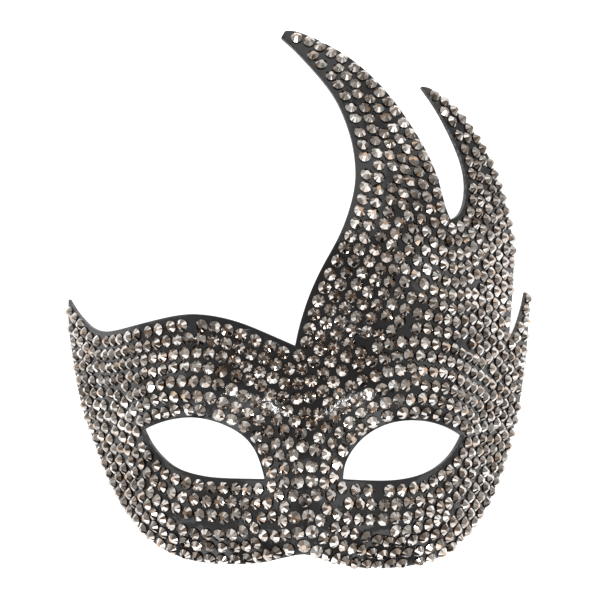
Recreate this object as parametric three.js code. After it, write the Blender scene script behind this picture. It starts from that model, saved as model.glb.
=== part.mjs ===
// A half mask set all over with small faceted stones. It is modelled as the wearer's face would
// hold it, x to the right, y up, z out of the face, and is laid down on its side rims at the end.
// Millimetres. The two pieces are the moulded shell and the layer of glued stones on it.
import * as THREE from 'three';

// The moulded shell
const wall = 1.5;
const shellCell = 5.2;
const netClearance = 0.62;
const rimStep = 4.3;
const fineRimStep = 1;

// The section across the face: a gentle front, rounder temples, then nearly straight sides
const frontRadius = 150;
const frontArc = 26;
const templeRadius = 45;
const templeArc = 30;
const sideRadius = 1200;

// The forehead rolls back above the brow until the horns lean back evenly, and opens out a little
const leanFrom = -14;
const leanHeight = 69;
const leanSlope = 0.45;
const flareFrom = 5;
const flareHeight = 70;
const flareShare = 0.3;

// The sides wrap further round the cheeks than round the temples, so that their rims lie level
const cheekWrapFrom = -28;
const cheekWrapHeight = 26;
const cheekWrapShare = 0.1;

// Swellings and hollows of the face: half widths and heights of rounded bumps
const noseMiddle = 1.5;
const noseTop = -22;
const noseHeight = 50;
const noseProud = 13;
const noseHalfWidth = 9;
const noseSpread = 5;
const browBump = { x: 30, y: -29, halfWidth: 24, halfHeight: 9, proud: 3 };
const eyeHollow = { x: 33, y: -48, halfWidth: 20, halfHeight: 9, proud: -3 };
const cheekBump = { x: 34, y: -68, halfWidth: 22, halfHeight: 8, proud: 2 };
const chinTuckFrom = -70;
const chinTuckRadius = 22;

// The stones: round, flat backed, pushed up against one another in rows that follow the edges
const stoneDiameter = 3.8;
const closestPitch = 3.55;
const rowStonePitch = 3.86;
const pitchSpread = 0.16;
const rowPitch = 4.3;
const evenPitch = 4;
const gapFillings = 2;
const settleRounds = 12;
const settleShare = 0.2;
const stoneHeight = 1.5;
const glueLift = 0.5;
const glueDepth = 0.3;
const stoneSearchStep = 0.45;
const stoneSeed = 11;
const rowPull = 0.5;
const crustInset = 0.25;

// The edge as seen from the front, in stretches. A stretch gives the width that the stones leave
// bare along it. Where it is below zero, they stand out over the edge.
const edgeStretches = [
  { name: 'left temple, inner edge', bare: 0, points: [
    [-81, 0.4], [-77.4, -4.2], [-71.3, -9.2]] },
  { name: 'brow edge', bare: 1.4, points: [
    [-71.3, -9.2], [-64.4, -10.5], [-50.2, -7.3], [-37.1, -4.5], [-29, -4.5], [-19, -6.6],
    [-7.4, -11.3], [-1.5, -13.9]] },
  { name: 'tall horn, inner edge', bare: 1.3, points: [
    [-1.5, -13.9], [-0.8, -10], [2.3, 0.2], [6.2, 9.1], [12.9, 21.6], [16.9, 34.2], [17.4, 43.4],
    [15.6, 54.2], [10.2, 67.4], [-1.2, 81.9], [-6.4, 87]] },
  { name: 'tall horn, tip', bare: 1.2, points: [
    [-6.4, 87], [-5.8, 88.9], [-4, 89.9], [-1.9, 89.7]] },
  { name: 'tall horn, outer edge', bare: 0.4, points: [
    [-1.9, 89.7], [6.6, 85.9], [17.5, 78.9], [27.8, 68.4], [36.9, 54.9], [43.4, 41.8],
    [46.8, 28.8], [48.2, 25.8]] },
  { name: 'middle horn, inner edge', bare: 1.1, points: [
    [48.2, 25.8], [52.3, 28.1], [54.5, 36], [53.3, 45.5], [47, 59.4]] },
  { name: 'middle horn, inner side of the tip', bare: 0.1, points: [
    [47, 59.4], [43.8, 64.8], [39.8, 70.4]] },
  { name: 'middle horn, outer side of the tip', bare: -0.9, points: [
    [39.8, 70.4], [41.7, 71], [46.9, 67.4], [55.3, 59.9]] },
  { name: 'middle horn, outer edge', bare: -0.4, points: [
    [55.3, 59.9], [60.9, 52.9], [65.5, 44.7], [71.6, 27.4], [73.5, 13.8]] },
  { name: 'middle horn, foot', bare: 0.6, points: [
    [73.5, 13.8], [72, -3], [70.7, -13.7]] },
  { name: 'side horn, inner edge', bare: -0.6, points: [
    [70.7, -13.7], [73.4, -11.4], [77, -3], [78.6, 2.9]] },
  { name: 'side horn, outer edge', bare: -1, points: [
    [78.6, 2.9], [79.9, 2.2], [80, -3.5], [79.5, -9]] },
  { name: 'right side', bare: 0.9, points: [
    [79.5, -9], [78.7, -17], [77.5, -25.1], [75.6, -36.1]] },
  { name: 'right cheek', bare: -0.2, points: [
    [75.6, -36.1], [72.7, -47.3], [66.1, -62.7], [57, -73.8], [44, -81.9], [29, -83.5],
    [20.6, -82.7], [12.2, -80], [6.9, -76.9], [1.5, -74.6]] },
  { name: 'left cheek', bare: 0.3, points: [
    [1.5, -74.6], [-4.6, -76.4], [-13.9, -80.4], [-27, -81.9], [-40.4, -79.7], [-51.5, -73.6],
    [-61.5, -63.9], [-68.7, -52.1]] },
  { name: 'left side', bare: 0.9, points: [
    [-68.7, -52.1], [-75, -37.1], [-79.4, -18], [-80.7, -11]] },
  { name: 'left temple, outer edge', bare: -0.3, points: [
    [-80.7, -11], [-81.1, -5], [-81, 0.4]] },
];

// The eye holes, round the upper lid and back along the lower lid
const leftEyeHole = [
  { name: 'left upper lid', bare: 1, points: [
    [-50.3, -41.6], [-41.2, -37.6], [-31, -36.3], [-20.1, -39.8], [-13.9, -45.7], [-10.9, -54.1]] },
  { name: 'left lower lid', bare: 1.4, points: [
    [-10.9, -54.1], [-19.5, -54.6], [-29.5, -54.4], [-40, -52], [-47.6, -46.1], [-50.3, -41.6]] },
];
const rightEyeHole = [
  { name: 'right upper lid', bare: 1, points: [
    [13.2, -54.1], [14.1, -49], [20, -41.8], [28.5, -37.7], [38.1, -37.6], [46.6, -40.4],
    [52.5, -43.9]] },
  { name: 'right lower lid', bare: 1.4, points: [
    [52.5, -43.9], [48.6, -49.3], [40.4, -53.8], [30, -55.5], [20.5, -55.1], [13.2, -54.1]] },
];

const maskEdges = [edgeStretches, leftEyeHole, rightEyeHole];

// A patch of the flat pattern that holds the whole mask, and how finely it is measured
const patternHalfWidth = 110;
const patternLow = -88;
const patternHigh = 94;
const arcTolerance = 1e-6;
const normalStep = 0.05;

// Lying down, the mask rests on its two side rims, which run back from the cheeks to the temples
const restTilt = THREE.MathUtils.degToRad(8);

const plastic = new THREE.MeshStandardMaterial({ color: 0x2c2c2e, roughness: 0.35, metalness: 0 });
const mirrorStone = new THREE.MeshStandardMaterial({ color: 0x9c8f80, roughness: 0.18, metalness: 0.9 });

// The same numbers every time, so that the small irregularities never change
function makeRandom(seed) {
  let state = seed;
  return () => {
    state = (state * 1664525 + 1013904223) % 4294967296;
    return state / 4294967296;
  };
}

// The section across the face, measured by its arc length from the middle plane
const frontTurn = frontArc / frontRadius;
const templeTurn = frontTurn + templeArc / templeRadius;

function arcPoint(radius, fromTurn, arc) {
  const toTurn = fromTurn + arc / radius;
  return {
    x: radius * (Math.sin(toTurn) - Math.sin(fromTurn)),
    drop: radius * (Math.cos(fromTurn) - Math.cos(toTurn)),
  };
}

function sectionPoint(arc) {
  const length = Math.abs(arc);
  const front = arcPoint(frontRadius, 0, Math.min(length, frontArc));
  const temple = arcPoint(templeRadius, frontTurn, THREE.MathUtils.clamp(length - frontArc, 0, templeArc));
  const side = arcPoint(sideRadius, templeTurn, Math.max(length - frontArc - templeArc, 0));
  return {
    x: Math.sign(arc) * (front.x + temple.x + side.x),
    drop: front.drop + temple.drop + side.drop,
  };
}

function arcAcross(x) {
  let low = 0;
  let high = patternHalfWidth;
  while (high - low > arcTolerance) {
    const middle = (low + high) / 2;
    if (sectionPoint(middle).x < Math.abs(x)) low = middle;
    else high = middle;
  }
  return Math.sign(x) * low;
}

function bump(shape, x, y) {
  const across = (Math.abs(x) - shape.x) / shape.halfWidth;
  const along = (y - shape.y) / shape.halfHeight;
  return shape.proud * Math.exp(-across * across - along * along);
}

function noseRidge(x, y) {
  const share = THREE.MathUtils.smoothstep(noseTop - y, 0, noseHeight);
  const across = (x - noseMiddle) / (noseHalfWidth + noseSpread * share);
  return noseProud * share * Math.exp(-across * across);
}

// How far a slope that grows smoothly from 0 to 1 has run, where it is full grown at share 1
function smoothRun(share) {
  const grown = THREE.MathUtils.clamp(share, 0, 1);
  return grown ** 3 - grown ** 4 / 2 + Math.max(share - 1, 0);
}

// A point of the shell's outer face, from its place in the pattern laid flat across the section
function facePoint(arc, y) {
  const section = sectionPoint(arc);
  const flare = flareShare * THREE.MathUtils.smoothstep(y - flareFrom, 0, flareHeight);
  const wrap = cheekWrapShare * THREE.MathUtils.smoothstep(cheekWrapFrom - y, 0, cheekWrapHeight);
  const lean = leanSlope * leanHeight * smoothRun((y - leanFrom) / leanHeight);
  const tuck = Math.max(chinTuckFrom - y, 0) ** 2 / (2 * chinTuckRadius);
  const form = noseRidge(section.x, y) + bump(browBump, section.x, y)
    + bump(eyeHollow, section.x, y) + bump(cheekBump, section.x, y);
  return new THREE.Vector3(section.x, y, form - section.drop * (1 - flare + wrap) - lean - tuck);
}

function faceNormal(arc, y) {
  const across = facePoint(arc + normalStep, y).sub(facePoint(arc - normalStep, y));
  const up = facePoint(arc, y + normalStep).sub(facePoint(arc, y - normalStep));
  return across.cross(up).normalize();
}

function raised(arc, y, height) {
  return facePoint(arc, y).addScaledVector(faceNormal(arc, y), height);
}

// A closed edge, stretch by stretch, as evenly spaced points of the flat pattern. Each point
// knows how wide a bare band it asks for.
function edgeLoop(stretches, step) {
  return stretches.flatMap((stretch) => {
    const flat = stretch.points.map(([x, y]) => new THREE.Vector2(arcAcross(x), y));
    const curve = new THREE.SplineCurve(flat);
    const count = Math.max(2, Math.round(curve.getLength() / step));
    return curve.getSpacedPoints(count).slice(0, -1).map((point) => ({ point, bare: stretch.bare }));
  });
}

function isInside(point, loop) {
  let inside = false;
  for (let i = 0, j = loop.length - 1; i < loop.length; j = i++) {
    const a = loop[i];
    const b = loop[j];
    const crosses = (a.y > point.y) !== (b.y > point.y);
    if (crosses && point.x < (b.x - a.x) * (point.y - a.y) / (b.y - a.y) + a.x) inside = !inside;
  }
  return inside;
}

function isOnMask(point, loops) {
  return isInside(point, loops[0]) && !loops.slice(1).some((hole) => isInside(point, hole));
}

function turn(a, b, c) {
  return (b.x - a.x) * (c.y - a.y) - (b.y - a.y) * (c.x - a.x);
}

// Delaunay triangles of points in the flat pattern, one point added at a time. They start from
// one triangle far around the pattern, which is dropped at the end.
function delaunay(points) {
  const far = 20 * patternHalfWidth;
  const around = [[-far, -far], [far, -far], [0, far]].map(([x, y]) => new THREE.Vector2(x, y));
  const all = [...points, ...around];
  const withCircle = (corners) => {
    const [a, b, c] = corners.map((corner) => all[corner]);
    const d = 2 * turn(a, b, c);
    const ab = b.clone().sub(a);
    const ac = c.clone().sub(a);
    const x = a.x + (ac.y * ab.lengthSq() - ab.y * ac.lengthSq()) / d;
    const y = a.y + (ab.x * ac.lengthSq() - ac.x * ab.lengthSq()) / d;
    return { corners, x, y, radiusSq: (a.x - x) ** 2 + (a.y - y) ** 2 };
  };
  let triangles = [withCircle([points.length, points.length + 1, points.length + 2])];
  points.forEach((point, index) => {
    const kept = [];
    const edges = new Map();
    for (const triangle of triangles) {
      if ((point.x - triangle.x) ** 2 + (point.y - triangle.y) ** 2 >= triangle.radiusSq) {
        kept.push(triangle);
        continue;
      }
      triangle.corners.forEach((from, i) => {
        const to = triangle.corners[(i + 1) % 3];
        if (!edges.delete(`${to},${from}`)) edges.set(`${from},${to}`, [from, to]);
      });
    }
    for (const [from, to] of edges.values()) kept.push(withCircle([from, to, index]));
    triangles = kept;
  });
  return triangles.map((triangle) => triangle.corners)
    .filter((corners) => Math.max(...corners) < points.length);
}

function middleOf(corners, points) {
  const sum = new THREE.Vector2();
  corners.forEach((corner) => sum.add(points[corner]));
  return sum.divideScalar(corners.length);
}

// Triangles that fill the mask's outline and leave the eye holes open. An edge that the
// triangles miss is halved until they keep it.
function fillOutline(loops, inner) {
  let edges = loops.map((loop) => [...loop]);
  for (;;) {
    const starts = edges.map((_, i) => edges.slice(0, i).reduce((sum, loop) => sum + loop.length, 0));
    const points = [...edges.flat(), ...inner];
    const triangles = delaunay(points).filter((corners) => isOnMask(middleOf(corners, points), edges));
    const found = new Set(triangles.flatMap(([a, b, c]) => [`${a},${b}`, `${b},${c}`, `${c},${a}`]));
    let missing = false;
    const halved = edges.map((loop, i) => loop.flatMap((point, j) => {
      const from = starts[i] + j;
      const to = starts[i] + (j + 1) % loop.length;
      if (found.has(`${from},${to}`) || found.has(`${to},${from}`)) return [point];
      missing = true;
      return [point, point.clone().add(loop[(j + 1) % loop.length]).multiplyScalar(0.5)];
    }));
    if (!missing) return { points, triangles, loops: edges, starts };
    edges = halved;
  }
}

// A hexagonal net of points over the mask, kept clear of the edges, with a column on the nose
function innerNet(loops) {
  const net = [];
  const rowStep = shellCell * Math.sqrt(3) / 2;
  const columns = Math.ceil(patternHalfWidth / shellCell);
  const rows = Math.ceil((patternHigh - patternLow) / rowStep);
  for (let row = 0; row < rows; row++) {
    for (let column = -columns; column <= columns; column++) {
      const across = (column + (row % 2) / 2) * shellCell + noseMiddle;
      const point = new THREE.Vector2(across, patternLow + row * rowStep);
      const clear = loops.flat().every((edge) => edge.distanceTo(point) > shellCell * netClearance);
      if (clear && isOnMask(point, loops)) net.push(point);
    }
  }
  return net;
}

// One closed solid between an upper and a lower sheet that share their edges' points
function closedSheet(upper, lower, edgeCounts) {
  const positions = [...upper.positions, ...lower.positions];
  const below = upper.positions.length;
  const turnedOver = lower.triangles.map(([a, b, c]) => [a + below, c + below, b + below]);
  const triangles = [...upper.triangles, ...turnedOver];
  let start = 0;
  edgeCounts.forEach((count) => {
    for (let i = 0; i < count; i++) {
      const from = start + i;
      const to = start + (i + 1) % count;
      triangles.push([from, from + below, to + below], [from, to + below, to]);
    }
    start += count;
  });
  const geometry = new THREE.BufferGeometry();
  const numbers = positions.flatMap((position) => position.toArray());
  geometry.setAttribute('position', new THREE.Float32BufferAttribute(numbers, 3));
  geometry.setIndex(triangles.flat());
  geometry.computeVertexNormals();
  return geometry;
}

// The outer loop runs anticlockwise and the loops of the eye holes clockwise
function turnedLoops(loops) {
  return loops.map((loop, i) => {
    const area = THREE.ShapeUtils.area(loop);
    const wanted = i === 0 ? area > 0 : area < 0;
    return wanted ? loop : [...loop].reverse();
  });
}

function makeShell() {
  const edges = maskEdges.map((stretches) => edgeLoop(stretches, rimStep));
  const loops = turnedLoops(edges.map((loop) => loop.map((edge) => edge.point)));
  const filled = fillOutline(loops, innerNet(loops));
  const sheet = (height) => ({
    positions: filled.points.map((point) => raised(point.x, point.y, height)),
    triangles: filled.triangles,
  });
  return closedSheet(sheet(0), sheet(-wall), filled.loops.map((loop) => loop.length));
}

// Where the stones go. The first row runs along every edge, each further row lies a row's width
// inside the last, and single stones fill what is left where the rows meet.
function placeStones() {
  const edges = maskEdges.map((stretches) => edgeLoop(stretches, fineRimStep));
  const loops = edges.map((loop) => loop.map((edge) => edge.point));
  const rim = edges.flat().map((edge) => ({ ...edge, place: facePoint(edge.point.x, edge.point.y) }));
  const spots = [];
  for (let y = patternLow; y < patternHigh; y += stoneSearchStep) {
    for (let arc = -patternHalfWidth; arc < patternHalfWidth; arc += stoneSearchStep) {
      const flat = new THREE.Vector2(arc, y);
      if (!isOnMask(flat, loops)) continue;
      const place = facePoint(arc, y);
      const room = Math.min(...rim.map((edge) => edge.place.distanceTo(place) - edge.bare));
      if (room >= stoneDiameter / 2) spots.push({ flat, place, room });
    }
  }
  const random = makeRandom(stoneSeed);
  let stones = [];
  let last = spots[0];
  const setStones = (band, pitch) => {
    const places = stones.map((stone) => facePoint(stone.x, stone.y));
    let waiting = band.filter((spot) => places.every((place) => spot.place.distanceTo(place) >= pitch));
    while (waiting.length > 0) {
      const reach = (spot) => spot.room * rowPull + spot.place.distanceTo(last.place);
      last = waiting.reduce((best, spot) => (reach(spot) < reach(best) ? spot : best));
      stones.push(last.flat);
      const keepAway = pitch + pitchSpread * random();
      waiting = waiting.filter((spot) => spot.place.distanceTo(last.place) >= keepAway);
    }
  };
  const widest = Math.max(...spots.map((spot) => spot.room));
  for (let middle = stoneDiameter / 2; middle < widest; middle += rowPitch) {
    setStones(spots.filter((spot) => Math.abs(spot.room - middle) < stoneSearchStep / 2), rowStonePitch);
  }
  for (let filling = 0; filling < gapFillings; filling++) {
    setStones(spots, closestPitch);
    stones = settle(stones, rim);
  }
  return stones;
}

// The stones push one another apart until they sit evenly, and stay off the bare edges
function settle(start, rim) {
  let stones = start;
  for (let round = 0; round < settleRounds; round++) {
    const places = stones.map((stone) => facePoint(stone.x, stone.y));
    stones = stones.map((stone, i) => {
      const moved = stone.clone();
      stones.forEach((other, j) => {
        const lacking = evenPitch - places[i].distanceTo(places[j]);
        if (i !== j && lacking > 0) moved.add(stone.clone().sub(other).setLength(lacking * settleShare));
      });
      const place = facePoint(moved.x, moved.y);
      const roomBeside = (edge) => edge.place.distanceTo(place) - edge.bare;
      const nearest = rim.reduce((best, edge) => (roomBeside(edge) < roomBeside(best) ? edge : best));
      const lacking = stoneDiameter / 2 - roomBeside(nearest);
      if (lacking > 0) moved.add(moved.clone().sub(nearest.point).setLength(lacking));
      return moved;
    });
  }
  return stones;
}

// The layer of stones: every stone a low pyramid whose foot runs along the valleys around it
function makeStones() {
  const inset = turnedLoops(maskEdges.map(insetLoop));
  const stones = placeStones();
  const filled = fillOutline(inset, stones);
  const edgeCount = filled.loops.flat().length;
  const valleyHeight = glueLift + glueDepth;
  const points = [...filled.points];
  const triangles = [];
  const valleys = filled.triangles.map((corners) => {
    const edgeCorner = corners.find((corner) => corner < edgeCount);
    if (edgeCorner !== undefined) return edgeCorner;
    points.push(middleOf(corners, filled.points));
    return points.length - 1;
  });
  const beside = new Map();
  filled.triangles.forEach((corners, index) => {
    corners.forEach((from, i) => beside.set(`${from},${corners[(i + 1) % 3]}`, index));
  });
  filled.triangles.forEach((corners, index) => {
    const onEdge = corners.filter((corner) => corner < edgeCount).length;
    if (onEdge > 1) triangles.push(corners);
    if (onEdge > 1) return;
    corners.forEach((from, i) => {
      const to = corners[(i + 1) % 3];
      if (Math.min(from, to) < edgeCount) return;
      const here = valleys[index];
      const there = valleys[beside.get(`${to},${from}`)];
      const crossesWell = turn(points[from], points[there], points[here]) > 0
        && turn(points[to], points[here], points[there]) > 0;
      if (crossesWell) triangles.push([from, there, here]);
      else triangles.push([from, to, here]);
    });
  });
  const upper = {
    positions: points.map((point, index) => {
      const isStone = index >= edgeCount && index < filled.points.length;
      return raised(point.x, point.y, isStone ? glueLift + stoneHeight : valleyHeight);
    }),
    triangles,
  };
  const under = fillOutline(filled.loops, innerNet(filled.loops));
  const lower = {
    positions: under.points.map((point) => raised(point.x, point.y, glueLift)),
    triangles: under.triangles,
  };
  return closedSheet(upper, lower, filled.loops.map((loop) => loop.length));
}

// The stone layer's own edge: the mask's edge moved in by the bare band and a little more
function insetLoop(stretches) {
  const loop = edgeLoop(stretches, rimStep);
  const area = THREE.ShapeUtils.area(loop.map((edge) => edge.point));
  const isHole = stretches !== edgeStretches;
  const inward = (area > 0) === !isHole ? 1 : -1;
  return loop.map((edge, i) => {
    const before = loop[(i + loop.length - 1) % loop.length].point;
    const after = loop[(i + 1) % loop.length].point;
    const along = after.clone().sub(before).normalize();
    const side = new THREE.Vector2(-along.y, along.x).multiplyScalar(inward);
    return edge.point.clone().addScaledVector(side, Math.max(edge.bare, 0) + crustInset);
  });
}

const mask = new THREE.Group();
const shell = new THREE.Mesh(makeShell(), plastic);
shell.name = 'shell';
mask.add(shell);
const stones = new THREE.Mesh(makeStones(), mirrorStone);
stones.name = 'stones';
mask.add(stones);

mask.rotation.x = restTilt;
mask.updateMatrixWorld(true);
const box = new THREE.Box3().setFromObject(mask, true);
const middle = box.getCenter(new THREE.Vector3());
mask.position.set(-middle.x, -middle.y, -box.min.z);

const layingDown = new THREE.Group();
layingDown.add(mask);
layingDown.updateMatrixWorld(true);

export default layingDown;
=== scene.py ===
import math
import random

import bmesh
import bpy
from mathutils import Matrix, Vector
from mathutils.bvhtree import BVHTree


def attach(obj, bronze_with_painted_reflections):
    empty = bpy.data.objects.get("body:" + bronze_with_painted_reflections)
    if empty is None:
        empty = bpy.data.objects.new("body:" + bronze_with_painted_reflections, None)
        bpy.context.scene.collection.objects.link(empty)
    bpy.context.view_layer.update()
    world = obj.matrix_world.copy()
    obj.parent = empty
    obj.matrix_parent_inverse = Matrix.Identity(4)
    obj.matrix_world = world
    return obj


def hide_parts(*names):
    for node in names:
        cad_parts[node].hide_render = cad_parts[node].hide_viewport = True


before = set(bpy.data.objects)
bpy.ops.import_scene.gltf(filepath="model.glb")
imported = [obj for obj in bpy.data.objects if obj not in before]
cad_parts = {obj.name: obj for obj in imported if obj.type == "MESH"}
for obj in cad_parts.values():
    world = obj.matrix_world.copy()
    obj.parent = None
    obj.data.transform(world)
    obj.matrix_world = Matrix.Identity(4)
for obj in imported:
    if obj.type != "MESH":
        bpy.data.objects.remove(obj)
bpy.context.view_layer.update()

# Camera
# The mask lies face up, its brow leaning 8 degrees from level. The camera looks straight at
# the face from a short arm's length, and a 600 pixel picture has a focal length of 1148 pixels.
MM = 0.001
RECLINE = math.radians(8)
FACE_MIDDLE = Vector((0.505, -5.526, 52.213)) * MM
CAMERA_DISTANCE = 350 * MM
FOCAL_SHARE = 1148 / 600
SENSOR_WIDTH = 36

camera = bpy.data.objects.new("camera", bpy.data.cameras.new("camera"))
camera.data.sensor_width = SENSOR_WIDTH
camera.data.lens = SENSOR_WIDTH * FOCAL_SHARE
camera.data.clip_start = 10 * MM
face_turn = Matrix.Rotation(RECLINE, 4, "X")
at_face = Matrix.Translation(FACE_MIDDLE) @ face_turn
camera.matrix_world = at_face @ Matrix.Translation((0, 0, CAMERA_DISTANCE))
bpy.context.scene.collection.objects.link(camera)
bpy.context.scene.camera = camera

# Studio
# A white table under the mask in a pale room that is dark low down in front. Tall paper panels
# stand around it, brightest in front of the chin, so that the facets of one stone differ.
bpy.context.scene.view_settings.view_transform = "Standard"


class Signal:
    """One output of a shader node. Sums and products of signals add Math nodes beside it."""

    def __init__(self, socket):
        self.socket = socket

    def node(self, kind, settings, inputs, output=0):
        """A new node in the same material: its settings first, then what its sockets get."""
        tree = self.socket.id_data
        made = tree.nodes.new(kind)
        for name, value in settings.items():
            setattr(made, name, value)
        for key, value in inputs.items():
            if isinstance(value, Signal):
                tree.links.new(value.socket, made.inputs[key])
            else:
                made.inputs[key].default_value = value
        return Signal(made.outputs[output])

    def math(self, operation, first, second):
        return self.node("ShaderNodeMath", {"operation": operation}, {0: first, 1: second})

    def __add__(self, other):
        return self.math("ADD", self, other)

    def __sub__(self, other):
        return self.math("SUBTRACT", self, other)

    def __rsub__(self, other):
        return self.math("SUBTRACT", other, self)

    def __mul__(self, other):
        return self.math("MULTIPLY", self, other)

    __radd__ = __add__
    __rmul__ = __mul__

    def power(self, exponent):
        return self.math("POWER", self, exponent)

    def ramp(self, start, end):
        """0 below start, 1 above end, and smooth between them."""
        inputs = {"Value": self, "From Min": start, "From Max": end}
        return self.node("ShaderNodeMapRange", {"interpolation_type": "SMOOTHSTEP"}, inputs)

    def noise(self, size, detail=2.0):
        """Cloudy noise from 0 to 1 on this point, its lumps about size across."""
        return self.node("ShaderNodeTexNoise", {}, {"Vector": self, "Scale": 1 / size, "Detail": detail})

    def mix(self, low, high):
        """A colour from low, where this is 0, to high, where it is 1."""
        inputs = {"Factor": self, 6: low, 7: high}
        return self.node("ShaderNodeMix", {"data_type": "RGBA"}, inputs, 2)

    def bump(self, depth, below=None):
        """A bumped normal whose heights are this signal times depth."""
        inputs = {"Height": self, "Distance": depth}
        if below is not None:
            inputs["Normal"] = below
        return self.node("ShaderNodeBump", {}, inputs)

    def feed(self, material, name):
        shader = material.node_tree.nodes["Principled BSDF"]
        material.node_tree.links.new(self.socket, shader.inputs[name])


PALE_ROOM = (0.56, 0.54, 0.51, 1)
DARK_ROOM = (0.035, 0.035, 0.035, 1)
CEILING = (0.20, 0.16, 0.125, 1)
DARK_BELOW = -0.45
PALE_ABOVE = 0.10
CEILING_FROM = 0.80
CEILING_FULL = 0.97
world = bpy.data.worlds.new("studio")
bpy.context.scene.world = world
world.use_nodes = True
toward = Signal(world.node_tree.nodes.new("ShaderNodeTexCoord").outputs["Generated"])
toward_back = toward.node("ShaderNodeSeparateXYZ", {}, {0: toward}, 1)
toward_top = toward.node("ShaderNodeSeparateXYZ", {}, {0: toward}, 2)
room = (toward_back + 1.1 * toward_top).ramp(DARK_BELOW, PALE_ABOVE).mix(DARK_ROOM, PALE_ROOM)
overhead = toward_top.ramp(CEILING_FROM, CEILING_FULL)
room = overhead.node("ShaderNodeMix", {"data_type": "RGBA"}, {"Factor": overhead, 6: room, 7: CEILING}, 2)
world.node_tree.links.new(room.socket, world.node_tree.nodes["Background"].inputs["Color"])

PANEL_DISTANCE = 0.62
PANEL_MIDDLE = 0.24
PANEL_HEIGHT = 0.50
# Where each panel stands around the mask and how far it reaches, in degrees, and its brightness
PANELS = {
    "front_far_left": (-138, 8, 1.6),
    "front_left": (-117, 11, 2.1),
    "front": (-92, 12, 2.3),
    "front_right": (-68, 11, 2.1),
    "front_far_right": (-46, 8, 1.6),
    "right_low": (-22, 10, 1.3),
    "right": (8, 12, 1.0),
    "back_right": (48, 14, 0.9),
    "back": (88, 16, 0.8),
    "back_left": (128, 14, 0.9),
    "left": (172, 12, 1.0),
    "left_low": (202, 10, 1.3),
}
# The stones on the horns lean back, and have their own panels higher up: where the middle of each
# is, how wide and high it is, and its brightness
HIGH_PANELS = {
    "front_high": ((0, -0.42, 0.50), 0.34, 0.34, 1.7),
    "back_high": ((0, 0.40, 0.60), 0.60, 0.34, 0.95),
}


def hang_light(name, stand, width, height, brightness):
    """An area light of the given size that faces the middle of the mask."""
    light = bpy.data.lights.new(name, "AREA")
    light.shape = "RECTANGLE"
    light.size = width
    light.size_y = height
    light.energy = brightness * math.pi * width * height
    holder = bpy.data.objects.new(name, light)
    facing = (stand - FACE_MIDDLE).to_track_quat("Z", "Y").to_matrix().to_4x4()
    holder.matrix_world = Matrix.Translation(stand) @ facing
    bpy.context.scene.collection.objects.link(holder)


for name, (around, reach, brightness) in PANELS.items():
    turn = math.radians(around)
    stand = Vector((PANEL_DISTANCE * math.cos(turn), PANEL_DISTANCE * math.sin(turn), PANEL_MIDDLE))
    width = 2 * PANEL_DISTANCE * math.tan(math.radians(reach / 2))
    hang_light("panel_" + name, stand, width, PANEL_HEIGHT, brightness)
for name, (stand, width, height, brightness) in HIGH_PANELS.items():
    hang_light("panel_" + name, Vector(stand), width, height, brightness)

# A lamp on each side of the camera puts glints on the plastic over both eyes
LAMP_WIDTH = 0.064
LAMP_HEIGHT = 0.032
LAMP_BRIGHTNESS = 44
LAMP_ACROSS = {"left": -88, "right": 105}
LAMP_BELOW = -62
LAMP_ABOVE = 400
for name, across in LAMP_ACROSS.items():
    stand = at_face @ Vector((across * MM, LAMP_BELOW * MM, LAMP_ABOVE * MM))
    hang_light("lamp_" + name, stand, LAMP_WIDTH, LAMP_HEIGHT, LAMP_BRIGHTNESS)


def start_finish(name, constants):
    """A new material, its shader's constant sockets set, and the object's own coordinates in it."""
    material = bpy.data.materials.new(name)
    material.use_nodes = True
    shader = material.node_tree.nodes["Principled BSDF"]
    for socket, value in constants.items():
        shader.inputs[socket].default_value = value
    coordinates = material.node_tree.nodes.new("ShaderNodeTexCoord")
    return material, Signal(coordinates.outputs["Object"])


# The white table glows under the mask, and fades to pale grey on both sides outside the picture
TABLE_HALF = 1.6
WHITE_HALF = 0.115
FADE_WIDTH = 0.10
WHITE_PAINT = (0.86, 0.86, 0.86, 1)
GREY_PAINT = (0.36, 0.36, 0.36, 1)
WHITE_GLOW = (1, 1, 1, 1)
GREY_GLOW = (0.24, 0.24, 0.24, 1)
table_mesh = bmesh.new()
bmesh.ops.create_grid(table_mesh, x_segments=1, y_segments=1, size=TABLE_HALF)
table = bpy.data.objects.new("white_table", bpy.data.meshes.new("white_table"))
table_mesh.to_mesh(table.data)
table_mesh.free()
bpy.context.scene.collection.objects.link(table)
paint_constants = {"Roughness": 0.9, "Specular IOR Level": 0.1, "Emission Strength": 0.8}
paint, place = start_finish("table_paint", paint_constants)
across = place.node("ShaderNodeSeparateXYZ", {}, {0: place})
beside = (across * across).ramp(WHITE_HALF**2, (WHITE_HALF + FADE_WIDTH) ** 2)
beside.mix(WHITE_PAINT, GREY_PAINT).feed(paint, "Base Color")
beside.mix(WHITE_GLOW, GREY_GLOW).feed(paint, "Emission Color")
table.data.materials.append(paint)


# Shell
# The mask itself is one thin sheet of black styrene, drawn over a mould and trimmed to its
# outline, with both eye holes punched through. Its face is glossy, its inside duller.
WALL = 1.5 * MM
RIM_ROUNDING = 0.32 * MM
TRIM_ANGLE = math.radians(50)
MERGE_DISTANCE = 0.001 * MM

shell_mesh = bmesh.new()
shell_mesh.from_mesh(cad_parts["shell"].data)
bmesh.ops.remove_doubles(shell_mesh, verts=shell_mesh.verts[:], dist=MERGE_DISTANCE)
trimmed = [edge for edge in shell_mesh.edges if edge.calc_face_angle(0) > TRIM_ANGLE]
bmesh.ops.split_edges(shell_mesh, edges=trimmed)

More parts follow.
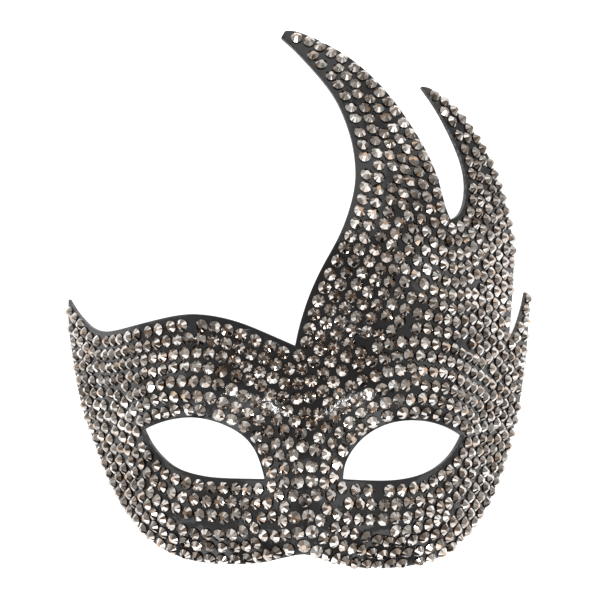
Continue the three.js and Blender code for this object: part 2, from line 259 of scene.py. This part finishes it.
# The moulded face is the sheet that holds the highest point, and the rest comes back as wall.
face_side = set()
waiting = [max(shell_mesh.faces, key=lambda face: face.calc_center_median().z)]
while waiting:
    face = waiting.pop()
    if face not in face_side:
        face_side.add(face)
        waiting.extend(near for edge in face.edges for near in edge.link_faces)
behind = [face for face in shell_mesh.faces if face not in face_side]
bmesh.ops.delete(shell_mesh, geom=behind, context="FACES")
for face in shell_mesh.faces:
    face.smooth = True

shell = bpy.data.objects.new("moulded_shell", bpy.data.meshes.new("moulded_shell"))
shell_mesh.to_mesh(shell.data)
shell_mesh.free()
bpy.context.scene.collection.objects.link(shell)

wall = shell.modifiers.new("wall", "SOLIDIFY")
wall.thickness = WALL
wall.offset = -1
wall.use_even_offset = True
wall.material_offset = 1
wall.material_offset_rim = 2
rounding = shell.modifiers.new("rounded rim", "BEVEL")
rounding.width = RIM_ROUNDING
rounding.segments = 2
rounding.limit_method = "ANGLE"
rounding.angle_limit = TRIM_ANGLE
smoothing = shell.modifiers.new("smooth face", "SUBSURF")
smoothing.levels = smoothing.render_levels = 2

PLASTIC = {"IOR": 1.54, "Specular IOR Level": 0.45}
CHARCOAL = (0.009, 0.0095, 0.011, 1)
DUSTY_CHARCOAL = (0.022, 0.0225, 0.025, 1)
gloss, place = start_finish("glossy_black_plastic", PLASTIC)
cloud = place.noise(9 * MM, 3)
grain = place.noise(0.5 * MM, 2)
# Clear glue has run out here and there around the stones, and it is the smoothest thing there
glue = place.noise(3.2 * MM, 2).ramp(0.42, 0.60)
cloud.mix(CHARCOAL, DUSTY_CHARCOAL).feed(gloss, "Base Color")
(0.12 + 0.05 * cloud - 0.06 * glue).feed(gloss, "Roughness")
(0.08 * grain + 0.4 * place.noise(2.0 * MM, 2) + 0.25 * glue).bump(0.10 * MM).feed(gloss, "Normal")

INSIDE_CHARCOAL = (0.030, 0.030, 0.032, 1)
INSIDE_GREY = (0.055, 0.055, 0.057, 1)
dull, place = start_finish("dull_inside_plastic", PLASTIC)
cloud = place.noise(14 * MM, 4)
grain = place.noise(0.8 * MM, 3)
cloud.mix(INSIDE_CHARCOAL, INSIDE_GREY).feed(dull, "Base Color")
(0.44 + 0.2 * cloud).feed(dull, "Roughness")
(grain + 0.5 * cloud).bump(0.08 * MM).feed(dull, "Normal")

RIM_CHARCOAL = (0.05, 0.05, 0.052, 1)
RIM_GREY = (0.13, 0.13, 0.135, 1)
cut, place = start_finish("cut_rim_plastic", PLASTIC)
scuffs = place.noise(1.6 * MM, 4).ramp(0.42, 0.62)
scuffs.mix(RIM_CHARCOAL, RIM_GREY).feed(cut, "Base Color")
(0.34 + 0.2 * scuffs).feed(cut, "Roughness")
place.noise(0.6 * MM, 3).bump(0.08 * MM).feed(cut, "Normal")

for material in (gloss, dull, cut):
    shell.data.materials.append(material)
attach(shell, "root")
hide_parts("shell")

# Stones
# Nearly nine hundred flat-backed round stones, cut with a small table and eight wide and eight
# narrow wedges, mirrored in smoky bronze, and set by hand with glue in rows along the edges.
# Their colour carries painted reflections and shade, facet by facet.
WEDGES = 8
WIDE_WEDGE = math.radians(29)
TABLE_SHARE = 0.36
GIRDLE_LOW = -0.25 * MM
GIRDLE_HIGH = 0.50 * MM
GIRDLE_SLOPE = 0.04 * MM
CROWN = 1.10 * MM
STONE_DIAMETER = 3.95 * MM
SMALLEST_STONE = 3.4 * MM
STONE_GAP = 0.08 * MM
SET_TILT = math.radians(3.5)
FLAT_ANGLE = math.radians(2)
POINT_HEIGHT = 1.4 * MM
STONE_SEED = 20

stones_cad = bmesh.new()
stones_cad.from_mesh(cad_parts["stones"].data)
bmesh.ops.remove_doubles(stones_cad, verts=stones_cad.verts[:], dist=MERGE_DISTANCE)
bpy.context.view_layer.update()
shell_tree = BVHTree.FromObject(shell, bpy.context.evaluated_depsgraph_get())
seats = []
for vert in stones_cad.verts:
    found = shell_tree.find_nearest(vert.co)
    base, height = found[0], found[3]
    if height > POINT_HEIGHT:
        seats.append((base, (vert.co - base).normalized()))
stones_cad.free()
seats.sort(key=lambda seat: (round(seat[0].y, 5), seat[0].x))

gem = bmesh.new()
radius = STONE_DIAMETER / 2
# Each kind of facet has its darkest and lightest tone, painted to stand for the dark and pale things it
# mirrors, and the share that gets a painted coppery glint
PAINTED_FACET_TONES = {
    "table": (0.25, 0.80, 0.25),
    "wide wedge": (0.22, 0.86, 0.015),
    "narrow wedge": (0.0, 0.85, 0.03),
    # The girdle's near black is painted shade, a thin dark ring round each stone
    "girdle": (0.0, 0.15, 0.0),
    "back": (0.0, 0.1, 0.0),
}
rings = [
    (radius, GIRDLE_LOW, WIDE_WEDGE / 2),
    (radius, GIRDLE_LOW, -WIDE_WEDGE / 2),
    (radius - GIRDLE_SLOPE, GIRDLE_HIGH, WIDE_WEDGE / 2),
    (radius - GIRDLE_SLOPE, GIRDLE_HIGH, -WIDE_WEDGE / 2),
    (radius * TABLE_SHARE, GIRDLE_HIGH + CROWN, math.pi / WEDGES),
]
for ring_radius, height, turn in rings:
    spot = Matrix.Translation((0, 0, height)) @ Matrix.Rotation(turn, 4, "Z")
    bmesh.ops.create_circle(gem, segments=WEDGES, radius=ring_radius, matrix=spot)
bmesh.ops.convex_hull(gem, input=gem.verts[:])
bmesh.ops.dissolve_limit(gem, angle_limit=FLAT_ANGLE, verts=gem.verts[:], edges=gem.edges[:])


def facet_kind(facet):
    """The table has eight corners, a wide wedge four, a narrow wedge three and the back sixteen."""
    corners = len(facet.verts)
    if corners == 4 and facet.normal.z < 0.5:
        return "girdle"
    return {2 * WEDGES: "back", WEDGES: "table", 4: "wide wedge", 3: "narrow wedge"}[corners]


gem.normal_update()
facet_kinds = [facet_kind(facet) for facet in gem.faces]
gem_mesh = bpy.data.meshes.new("gem")
gem.to_mesh(gem_mesh)
gem.free()

# How much darker or lighter a whole stone may be, and how warm its facets are, a few of them with painted
# coppery glints
SHADE_SPREAD = 0.15
PAINTED_GLINT_WARMTH = (0.6, 1)
FAINT_WARMTH = (0, 0.36)
dice = random.Random(STONE_SEED)
stones_mesh = bmesh.new()
painted_tone = stones_mesh.faces.layers.float.new("painted_tone")
warmth = stones_mesh.faces.layers.float.new("warmth")
girdles = [base + normal * GIRDLE_HIGH for base, normal in seats]
for (base, normal), girdle in zip(seats, girdles):
    nearest = min((girdle - other).length for other in girdles if other is not girdle)
    diameter = min(STONE_DIAMETER, max(SMALLEST_STONE, nearest - STONE_GAP))
    share = diameter / STONE_DIAMETER
    lean = Matrix.Rotation(dice.uniform(0, SET_TILT), 4, "X")
    around = Matrix.Rotation(dice.uniform(0, math.tau), 4, "Z")
    spin = Matrix.Rotation(dice.uniform(0, math.tau), 4, "Z")
    stand = Matrix.Translation(base) @ normal.to_track_quat("Z", "Y").to_matrix().to_4x4()
    first_vert = len(stones_mesh.verts)
    first_face = len(stones_mesh.faces)
    stones_mesh.from_mesh(gem_mesh)
    stones_mesh.verts.ensure_lookup_table()
    stones_mesh.faces.ensure_lookup_table()
    bmesh.ops.transform(
        stones_mesh,
        matrix=stand @ around @ lean @ spin @ Matrix.Diagonal((share, share, 1, 1)),
        verts=stones_mesh.verts[first_vert:],
    )
    shade = dice.uniform(-SHADE_SPREAD, SHADE_SPREAD)
    for face, kind in zip(stones_mesh.faces[first_face:], facet_kinds):
        lowest, highest, painted_glint_share = PAINTED_FACET_TONES[kind]
        face[painted_tone] = min(1, max(0, dice.uniform(lowest, highest) + shade))
        is_painted_glint = dice.random() < painted_glint_share
        face[warmth] = dice.uniform(*(PAINTED_GLINT_WARMTH if is_painted_glint else FAINT_WARMTH))
bpy.data.meshes.remove(gem_mesh)

stones = bpy.data.objects.new("metallic_stones", bpy.data.meshes.new("metallic_stones"))
stones_mesh.to_mesh(stones.data)
stones_mesh.free()
bpy.context.scene.collection.objects.link(stones)

# The ends of the painted facet tones: facets painted as mirroring shade go dark, those painted as
# mirroring light go pale
BRONZE_PAINTED_DARK = (0.032, 0.029, 0.028, 1)
BRONZE_PAINTED_PALE = (0.85, 0.842, 0.832, 1)
# A painted coppery glint on a few facets
PAINTED_COPPER_GLINT = (0.44, 0.26, 0.14, 1)


def attribute(material, name):
    """A number that the mesh carries at each point or face, as a signal."""
    reader = material.node_tree.nodes.new("ShaderNodeAttribute")
    reader.attribute_name = name
    return Signal(reader.outputs["Fac"])


mirror, place = start_finish("smoky_mirror_stone", {"Metallic": 1.0})
# Each facet's bronze runs from dark to pale by its painted tone, which stands in for what the facet
# mirrors
painted_facet_tone = attribute(mirror, "painted_tone")
# Cloudy painted reflections from inside the stones lighten and darken the facet tones
painted_inner_reflections = place.noise(1.1 * MM, 2)
bronze_with_painted_reflections = (painted_facet_tone + 0.4 * painted_inner_reflections - 0.2).mix(BRONZE_PAINTED_DARK, BRONZE_PAINTED_PALE)
# A few facets get the painted coppery glint, the rest a faint warmth
(0.8 * attribute(mirror, "warmth")).mix(bronze_with_painted_reflections, PAINTED_COPPER_GLINT).feed(mirror, "Base Color")
smears = place.noise(1.5 * MM, 3).ramp(0.45, 0.8)
(0.03 + 0.07 * smears).feed(mirror, "Roughness")
stones.data.materials.append(mirror)
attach(stones, "root")
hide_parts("stones")
